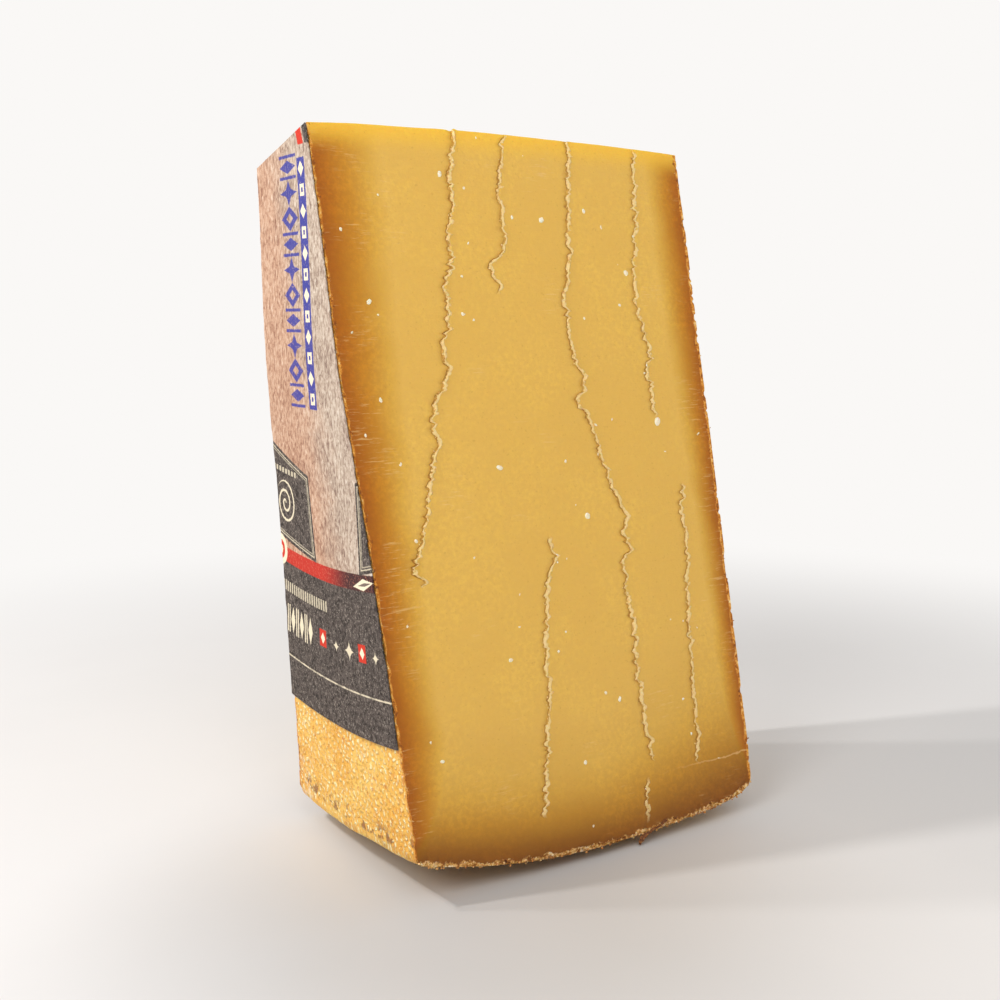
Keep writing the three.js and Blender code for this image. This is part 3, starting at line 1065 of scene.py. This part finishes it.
# ---------------------------------------------------------------------------------------------
# Shred. A twisted strip of rind that the knife pulled loose hangs from the heel's front edge.
SHRED_PATH = ((21.0, 4.6), (18.2, 4.0), (15.4, 3.1), (13.6, 1.8), (12.8, 0.3))
SHRED_WIDTHS = (3.2, 2.8, 2.2, 1.6, 0.7)
SHRED_SIDES = 10
SHRED_STEPS = 36
walk = np.linspace(0, 1, SHRED_STEPS)
knots = np.linspace(0, 1, len(SHRED_PATH))
walk_x = np.interp(walk, knots, [spot_x for spot_x, _ in SHRED_PATH]) - HUB_X
walk_w = np.interp(walk, knots, [spot_z for _, spot_z in SHRED_PATH]) - HUB_Z
walk_width = np.interp(walk, knots, SHRED_WIDTHS) * (1 + 0.5 * line_ripple(walk * 9, 1.6, 51))
walk_y = -38.1 - HUB_Y - 0.1 * walk
shred_points = []
for number in range(SHRED_STEPS):
    twist = 0.5 + 2.4 * walk[number]
    for side in range(SHRED_SIDES):
        turn = 2 * math.pi * side / SHRED_SIDES
        flat_x = walk_width[number] * 0.5 * math.cos(turn) * (1 + 0.25 * math.sin(3 * turn + number))
        flat_y = walk_width[number] * 0.2 * math.sin(turn)
        shred_points.append(
            (
                walk_x[number] + flat_x * math.cos(twist) - flat_y * math.sin(twist),
                walk_y[number] + flat_x * math.sin(twist) * 0.4 + flat_y,
                walk_w[number] + flat_x * 0.35 + 0.2,
            )
        )
shred_faces = []
for number in range(SHRED_STEPS - 1):
    for side in range(SHRED_SIDES):
        here, beside = number * SHRED_SIDES + side, number * SHRED_SIDES + (side + 1) % SHRED_SIDES
        shred_faces.append((here, beside, beside + SHRED_SIDES, here + SHRED_SIDES))
shred_faces.append(tuple(reversed(range(SHRED_SIDES))))
shred_faces.append(tuple(range((SHRED_STEPS - 1) * SHRED_SIDES, SHRED_STEPS * SHRED_SIDES)))
shred_array = np.array(shred_points)
shred_array += 0.14 * np.stack([ripple(shred_array, 0.9, 52 + axis) for axis in range(3)], axis=1)
shred_mesh = mesh_in_frame("rind_shred", shred_array, shred_faces)
shred = bpy.data.objects.new("rind_shred", shred_mesh)
scene.collection.objects.link(shred)
torn_rind, tree, shader = new_material("torn_rind", Roughness=0.75)
place = node(tree, "ShaderNodeTexCoord").outputs["Object"]
grit = cloudy(tree, place, 1300, 4, 0.7)
torn_colour = ramp(
    tree,
    grit,
    (
        (0.34, tint(70, 34, 10)),
        (0.52, tint(116, 64, 22)),
        (0.7, tint(190, 130, 66)),
    ),
)
tree.links.new(torn_colour, shader.inputs["Base Color"])
relief = node(tree, "ShaderNodeBump", {"Height": grit, "Strength": 0.8, "Distance": 0.0002})
tree.links.new(relief.outputs[0], shader.inputs["Normal"])
shred_mesh.materials.append(torn_rind)
hold_inside(shred_mesh, 0.05)
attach(shred, "root")

# ---------------------------------------------------------------------------------------------
# Label. A sector of the wheel's printed paper disc, stuck to the rind while the cheese was young
# and cut through with it: warm grey fibrous paper with a charcoal band, and plain ornament.
LABEL_RADIUS = 249.0
PAPER_CLEARANCE = 0.12
PAPER_THICKNESS = 0.28
LABEL_ROWS = 190
LABEL_COLUMNS = 56


def label_sheet():
    """Points over the sector, from the front cut to the back cut and from the rim inwards."""
    ring, turn = np.meshgrid(np.linspace(0, 1, LABEL_ROWS), np.linspace(0, 1, LABEL_COLUMNS), indexing="ij")
    ring, turn = ring.ravel(), turn.ravel()
    wobble = 0.35 * line_ripple(ring * 160, 4.0, 31)
    front = cut_line(FRONT_LEAN, front_offset, LABEL_RADIUS)
    back = cut_line(BACK_LEAN, back_offset, LABEL_RADIUS)
    start = front + (back - front) * turn
    low_y, low_w = LABEL_RADIUS * np.sin(start), -LABEL_RADIUS * np.cos(start)
    high_y = TOP_FRONT_Y + TOP_DEPTH * turn
    high_w = TOP_Z - NOSE_BOW - HUB_Z - TOP_DEPTH * turn * math.tan(NOSE_SLOPE)
    sheet_y = low_y + (high_y - low_y) * ring
    sheet_w = low_w + (high_w - low_w) * ring
    inset = 0.35 + np.clip(wobble, -0.3, 0.5)
    sheet_y += inset * ((turn < 0.01) * 1.0 - (turn > 0.99) * 1.0)
    sheet_w -= (0.5 + np.clip(wobble, -0.3, 0.4)) * (ring > 0.999)
    return sheet_y, sheet_w


sheet_y, sheet_w = label_sheet()
sheet_radius = np.hypot(sheet_y, sheet_w)
sheet_points = np.stack([sheet_y * 0, sheet_y, sheet_w], axis=1)
crease = 0.05 * ripple(sheet_points, 11.0, 32) + 0.03 * ripple(sheet_points, 3.0, 33)
inner_x = -label_half(sheet_radius) - PAPER_CLEARANCE - crease
outer_x = inner_x - PAPER_THICKNESS
inner = np.stack([inner_x, sheet_y, sheet_w], axis=1)
outer = np.stack([outer_x, sheet_y, sheet_w], axis=1)
count = len(sheet_y)
grid = np.arange(count).reshape(LABEL_ROWS, LABEL_COLUMNS)
border = np.concatenate([grid[0, :-1], grid[:-1, -1], grid[-1, :0:-1], grid[:0:-1, 0]])
following = np.roll(border, -1)
label_faces = np.concatenate(
    [
        side_faces(grid, True),
        side_faces(grid + count, False),
        np.stack([border, border + count, following + count, following], axis=1),
    ]
)
label_mesh = mesh_in_frame("label_paper", np.concatenate([inner, outer]), label_faces.tolist())
label_mesh.polygons.foreach_set("use_smooth", np.ones(len(label_mesh.polygons), dtype=bool))
label_mesh.set_sharp_from_angle(angle=math.radians(40))
label = bpy.data.objects.new("label_paper", label_mesh)
scene.collection.objects.link(label)

paper, tree, shader = new_material("label_print", Roughness=0.8, Specular_IOR_Level=0.2)
place = node(tree, "ShaderNodeTexCoord").outputs["Object"]
spot = node(tree, "ShaderNodeSeparateXYZ", {0: place})
bleed = sums(tree, "MULTIPLY_ADD", cloudy(tree, place, 1500, 3, 0.7), 0.5, -0.25)
# Millimetres across the label and up it, millimetres from the hub, and degrees round the hub
# from straight down. The ink has bled a little, so all of them waver.
side_mm = sums(tree, "ADD", sums(tree, "MULTIPLY", spot.outputs[1], 1 / MM), bleed)
up_mm = sums(tree, "SUBTRACT", sums(tree, "MULTIPLY", spot.outputs[2], 1 / MM), bleed)
from_hub = sums(tree, "SUBTRACT", side_mm, HUB_Y)
under_hub = sums(tree, "SUBTRACT", HUB_Z, up_mm)
ring_mm = sums(
    tree,
    "SQRT",
    sums(
        tree,
        "ADD",
        sums(tree, "MULTIPLY", from_hub, from_hub),
        sums(tree, "MULTIPLY", under_hub, under_hub),
    ),
)
turn_deg = sums(tree, "MULTIPLY", sums(tree, "ARCTAN2", from_hub, under_hub), 180 / math.pi)
SOFT = 0.12


def below(value, edge, soft=SOFT):
    """A mask that is 1 where a value is below an edge."""
    return ranged(tree, sums(tree, "SUBTRACT", value, edge), -soft, soft, 1, 0)


def band(value, low, high, soft=SOFT):
    """A mask that is 1 between two values."""
    above = below(sums(tree, "MULTIPLY", value, -1), -low, soft)
    return sums(tree, "MULTIPLY", below(value, high, soft), above)


def both(*masks):
    """The mask that all of these masks share."""
    total = masks[0]
    for mask in masks[1:]:
        total = sums(tree, "MULTIPLY", total, mask)
    return total


def either(*masks):
    """The mask that covers all of these masks."""
    total = masks[0]
    for mask in masks[1:]:
        total = sums(tree, "MAXIMUM", total, mask)
    return total


def less(mask, hole):
    """A mask with a hole in it."""
    return sums(tree, "MULTIPLY", mask, sums(tree, "SUBTRACT", 1.0, hole))


def off(value, centre, half):
    """How far a value is from a centre, with half as the unit."""
    return sums(tree, "ABSOLUTE", sums(tree, "DIVIDE", sums(tree, "SUBTRACT", value, centre), half))


def lozenge(u, v, size=1.0):
    """A mask for a lozenge from two distances."""
    return below(sums(tree, "ADD", u, v), size, 0.06)


def oblong(u, v, size=1.0):
    """A mask for a rectangle from two distances."""
    return below(sums(tree, "MAXIMUM", u, v), size, 0.04)


def hoop(u, v, inner, outer):
    """A mask for a ring from two distances."""
    span = sums(tree, "SQRT", sums(tree, "ADD", sums(tree, "MULTIPLY", u, u), sums(tree, "MULTIPLY", v, v)))
    return band(span, inner, outer, 0.05)


def over(colour, mask, ink):
    """A colour with an ink printed over it."""
    return mixed(tree, mask, colour, ink)


CREAM = tint(240, 226, 196)
BLUE = tint(56, 62, 148)
RED = tint(204, 58, 40)

# The bare paper: warm grey-brown, pinker at the back, greyer and rubbed paler by the front cut.
fibres_way = node(tree, "ShaderNodeMapping", {"Vector": place, "Scale": (1, 1.5, 0.6)}).outputs[0]
fibres = cloudy(tree, fibres_way, 800, 5, 0.72, 0.8)
clouds = cloudy(tree, place, 75, 4, 0.6)
weave = node(tree, "ShaderNodeGroup", node_tree=cloth)
flat_place = node(tree, "ShaderNodeCombineXYZ", {0: spot.outputs[1], 1: spot.outputs[2]}).outputs[0]
tree.links.new(flat_place, weave.inputs["Vector"])
weave.inputs["Pitch"].default_value = 0.0030
weave_mark = ranged(tree, weave.outputs["Grain"], 0.6, 1.0)
tone = sums(
    tree,
    "ADD",
    sums(tree, "MULTIPLY_ADD", fibres, 1.7, -0.56),
    sums(tree, "MULTIPLY_ADD", clouds, 0.45, sums(tree, "MULTIPLY_ADD", weave_mark, 0.08, -0.2)),
)
pink = ramp(
    tree,
    tone,
    (
        (0.1, tint(140, 98, 78)),
        (0.35, tint(192, 152, 126)),
        (0.6, tint(212, 182, 158)),
        (0.85, tint(232, 214, 198)),
    ),
)
grey = ramp(
    tree,
    tone,
    (
        (0.1, tint(132, 110, 98)),
        (0.35, tint(186, 166, 148)),
        (0.6, tint(212, 198, 182)),
        (0.85, tint(236, 230, 222)),
    ),
)
front_foot = HUB_Y + TOP_FRONT_Y - TOP_Z * math.tan(FRONT_LEAN)
front_edge = sums(tree, "MULTIPLY_ADD", up_mm, math.tan(FRONT_LEAN), front_foot)
from_front = sums(tree, "SUBTRACT", side_mm, front_edge)
pinkness = sums(tree, "ADD", from_front, sums(tree, "MULTIPLY_ADD", clouds, 24, -12))
colour = mixed(tree, ranged(tree, pinkness, 8, 32), grey, pink)

# The charcoal band, with a thin cream arc, pale flecks where the ink is rubbed, and a red fillet
# inside it that darkens towards the front cut.
flecks = ranged(tree, cloudy(tree, place, 1500, 4, 0.8), 0.53, 0.64)
wash = ranged(tree, cloudy(tree, place, 700, 5, 0.75), 0.35, 0.65)
charcoal = mixed(tree, wash, tint(46, 39, 36), tint(96, 86, 80))
charcoal = mixed(tree, sums(tree, "MULTIPLY", flecks, 0.62), charcoal, tint(172, 160, 148))
colour = over(colour, below(sums(tree, "MULTIPLY", ring_mm, -1), -211.0), charcoal)
arc_wear = ranged(tree, cloudy(tree, place, 300, 4), 0.35, 0.55, 0.3, 0.85)
arc = both(band(ring_mm, 237.5, 237.9, 0.15), arc_wear)
colour = over(colour, arc, CREAM)
fillet_ink = mixed(tree, ranged(tree, turn_deg, -4.4, 0.6), tint(70, 44, 44), tint(190, 52, 40))
fillet_ink = mixed(tree, sums(tree, "MULTIPLY", flecks, 0.35), fillet_ink, tint(236, 150, 120))
colour = over(colour, band(ring_mm, 207.0, 211.2), fillet_ink)

# Gabled charcoal plaques stand on the fillet all round the disc, with a double cream border and a
# spiral flourish in each.
PLAQUE_STEP = 22.7
from_plaque = node(
    tree,
    "ShaderNodeMath",
    {0: sums(tree, "SUBTRACT", turn_deg, 9.0), 1: PLAQUE_STEP / 2, 2: -PLAQUE_STEP / 2},
    operation="WRAP",
).outputs[0]
plaque_turn = sums(tree, "ABSOLUTE", from_plaque)


def gable(inset):
    """A plaque's mask, drawn in by an inset in millimetres."""
    half = sums(tree, "MULTIPLY_ADD", ring_mm, 0.034, 0.9 - inset * 0.3)
    roof = sums(tree, "MULTIPLY_ADD", plaque_turn, 0.8, 178.8 + inset)
    sill = sums(tree, "MULTIPLY_ADD", plaque_turn, 0.45, 203.6 - inset)
    return both(below(plaque_turn, half, 0.03), below(ring_mm, sill), below(roof, ring_mm))


colour = over(colour, gable(0.0), charcoal)
colour = over(colour, sums(tree, "MULTIPLY", less(gable(0.9), gable(1.2)), 0.7), CREAM)
colour = over(colour, sums(tree, "MULTIPLY", less(gable(1.6), gable(1.85)), 0.5), CREAM)
swirl_u = sums(tree, "MULTIPLY_ADD", sums(tree, "SUBTRACT", from_plaque, -2.6), 3.4, 0.0)
swirl_v = sums(tree, "SUBTRACT", ring_mm, 194.5)
swirl_span = sums(
    tree,
    "SQRT",
    sums(tree, "ADD", sums(tree, "MULTIPLY", swirl_u, swirl_u), sums(tree, "MULTIPLY", swirl_v, swirl_v)),
)
swirl_turn = sums(tree, "DIVIDE", sums(tree, "ARCTAN2", swirl_v, swirl_u), 2 * math.pi)
swirl_step = sums(tree, "SUBTRACT", sums(tree, "DIVIDE", swirl_span, 2.7), swirl_turn)
swirl = both(band(sums(tree, "FRACT", swirl_step), 0.38, 0.62, 0.06), below(swirl_span, 6.2))
colour = over(colour, sums(tree, "MULTIPLY", swirl, 0.9), CREAM)
dash_u = off(sums(tree, "FRACT", sums(tree, "MULTIPLY", turn_deg, 1.7)), 0.5, 0.3)
dashes = both(oblong(dash_u, off(ring_mm, 185.6, 0.7)), below(plaque_turn, 5.0))
colour = over(colour, sums(tree, "MULTIPLY", dashes, 0.6), CREAM)

# Small ornaments in the charcoal band: a row of tall bars and lozenges, a row of short strokes,
# red squares that each hold a cream lozenge, and cream stars.
bar_cell = sums(tree, "MULTIPLY", turn_deg, 1.42)
bar_u = off(sums(tree, "FRACT", bar_cell), 0.5, 0.5)
bar_v = off(ring_mm, 227.0, 4.0)
odd_cell = sums(tree, "FRACT", sums(tree, "MULTIPLY", sums(tree, "FLOOR", bar_cell), 0.5))
tall_bars = both(oblong(bar_u, bar_v), less(below(bar_u, 0.62, 0.05), below(bar_u, 0.22, 0.05)))
tall_marks = mixed(tree, sums(tree, "MULTIPLY", odd_cell, 2), tall_bars, lozenge(bar_u, bar_v, 0.95))
tall_marks = both(tall_marks, band(turn_deg, 2.05, 16.3, 0.02))
colour = over(colour, sums(tree, "MULTIPLY", tall_marks, 0.92), CREAM)
stroke_u = off(sums(tree, "FRACT", sums(tree, "MULTIPLY", turn_deg, 2.7)), 0.5, 0.28)
strokes = both(oblong(stroke_u, off(ring_mm, 218.0, 1.45)), band(turn_deg, -0.4, 15.0, 0.02))
colour = over(colour, sums(tree, "MULTIPLY", strokes, 0.6), CREAM)
for square_turn in (0.5, -5.2):
    square_u, square_v = off(turn_deg, square_turn, 0.5), off(ring_mm, 227.0, 2.3)
    colour = over(colour, oblong(square_u, square_v), RED)
    colour = over(colour, lozenge(square_u, square_v, 0.66), CREAM)
for star_turn, star_size in ((-1.5, 1.5), (-3.4, 2.4), (-7.0, 1.6)):
    star_u = off(turn_deg, star_turn, star_size / 3.96)
    star_v = off(ring_mm, 227.4, star_size)
    upright = either(
        lozenge(sums(tree, "MULTIPLY", star_u, 3.2), star_v),
        lozenge(star_u, sums(tree, "MULTIPLY", star_v, 3.2)),
    )
    slanted = lozenge(sums(tree, "MULTIPLY", star_u, 1.35), sums(tree, "MULTIPLY", star_v, 1.35), 0.95)
    colour = over(colour, sums(tree, "MULTIPLY", either(upright, slanted), 0.85), CREAM)

# A rosette and a leaf on the fillet.
rosette_u, rosette_v = off(turn_deg, 7.4, 1.25), off(ring_mm, 208.4, 4.6)
colour = over(colour, hoop(rosette_u, rosette_v, -1.0, 0.95), CREAM)
colour = over(colour, hoop(rosette_u, rosette_v, 0.3, 0.6), RED)
leaf_bend = sums(tree, "MULTIPLY_ADD", turn_deg, 0.5, 212.6)
leaf = lozenge(off(turn_deg, -6.2, 1.5), off(ring_mm, leaf_bend, 1.5))
colour = over(colour, leaf, CREAM)
colour = over(colour, lozenge(off(turn_deg, -6.4, 1.0), off(ring_mm, leaf_bend, 0.45)), tint(120, 106, 96))

# Up the bare paper: a column of blue bars, lozenges and stars, and beside it a solid blue strip
# with cream marks. Both run out before the plaques.
height_on = sums(tree, "SUBTRACT", up_mm, 117.0)
rubbed = ranged(tree, cloudy(tree, place, 1300, 3, 0.7), 0.56, 0.7, 1.0, 0.35)
column_middle = sums(tree, "MULTIPLY_ADD", height_on, 0.0375, 16.1)
column_half = sums(tree, "MULTIPLY_ADD", height_on, 0.0125, 4.5)
column_v = off(side_mm, column_middle, column_half)
column_cell = sums(tree, "DIVIDE", height_on, 6.4)
column_u = off(sums(tree, "FRACT", column_cell), 0.5, 0.5)
column_number = sums(tree, "FLOOR", column_cell)
kind = sums(tree, "MULTIPLY", sums(tree, "FRACT", sums(tree, "DIVIDE", column_number, 3.0)), 3.0)
rungs = both(oblong(column_u, column_v, 0.96), band(column_u, 0.7, 0.96, 0.05))
rungs = either(rungs, lozenge(sums(tree, "MULTIPLY", column_u, 1.9), sums(tree, "MULTIPLY", column_v, 1.1)))
diamonds = less(lozenge(column_u, column_v, 0.98), lozenge(column_u, column_v, 0.4))
spikes = either(
    lozenge(sums(tree, "MULTIPLY", column_u, 2.6), column_v),
    lozenge(column_u, sums(tree, "MULTIPLY", column_v, 2.6)),
    lozenge(column_u, column_v, 0.6),
)
marks = mixed(tree, band(kind, 0.5, 1.5, 0.1), rungs, diamonds)
marks = mixed(tree, band(kind, 1.5, 2.5, 0.1), marks, spikes)
marks = both(marks, band(height_on, 0.0, 64.0), rubbed)
colour = over(colour, sums(tree, "MULTIPLY", marks, 0.92), BLUE)
strip_middle = sums(tree, "MULTIPLY_ADD", height_on, 0.056, 7.0)
strip_v = off(side_mm, strip_middle, 2.2)
strip = both(below(strip_v, 1.0, 0.06), band(height_on, 0.0, 62.5), rubbed)
strip_cell = sums(tree, "DIVIDE", height_on, 5.2)
strip_u = off(sums(tree, "FRACT", strip_cell), 0.5, 0.5)
strip_number = sums(tree, "FLOOR", strip_cell)
strip_odd = sums(tree, "MULTIPLY", sums(tree, "FRACT", sums(tree, "MULTIPLY", strip_number, 0.5)), 2)
strip_marks = mixed(
    tree,
    strip_odd,
    less(oblong(strip_u, strip_v, 0.56), oblong(strip_u, strip_v, 0.22)),
    lozenge(strip_u, strip_v, 0.72),
)
colour = over(colour, sums(tree, "MULTIPLY", strip, 0.95), BLUE)
colour = over(colour, both(strip_marks, strip), CREAM)

# The tip of another ornament, cut off by the nose cut: charcoal, red and cream.
slant = sums(tree, "MULTIPLY_ADD", up_mm, -0.35, side_mm)
tip = below(sums(tree, "MULTIPLY", up_mm, -1), -182.6)
colour = over(colour, both(tip, below(slant, -56.4)), charcoal)
colour = over(colour, both(tip, band(slant, -55.6, -52.4)), RED)
tree.links.new(colour, shader.inputs["Base Color"])
paper_height = sums(tree, "MULTIPLY_ADD", weave_mark, 0.5, fibres)
paper_bump = node(
    tree,
    "ShaderNodeBump",
    {"Height": paper_height, "Strength": 0.5, "Distance": 0.00015},
)
tree.links.new(paper_bump.outputs[0], shader.inputs["Normal"])
label_mesh.materials.append(paper)
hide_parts("label")
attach(label, "root")
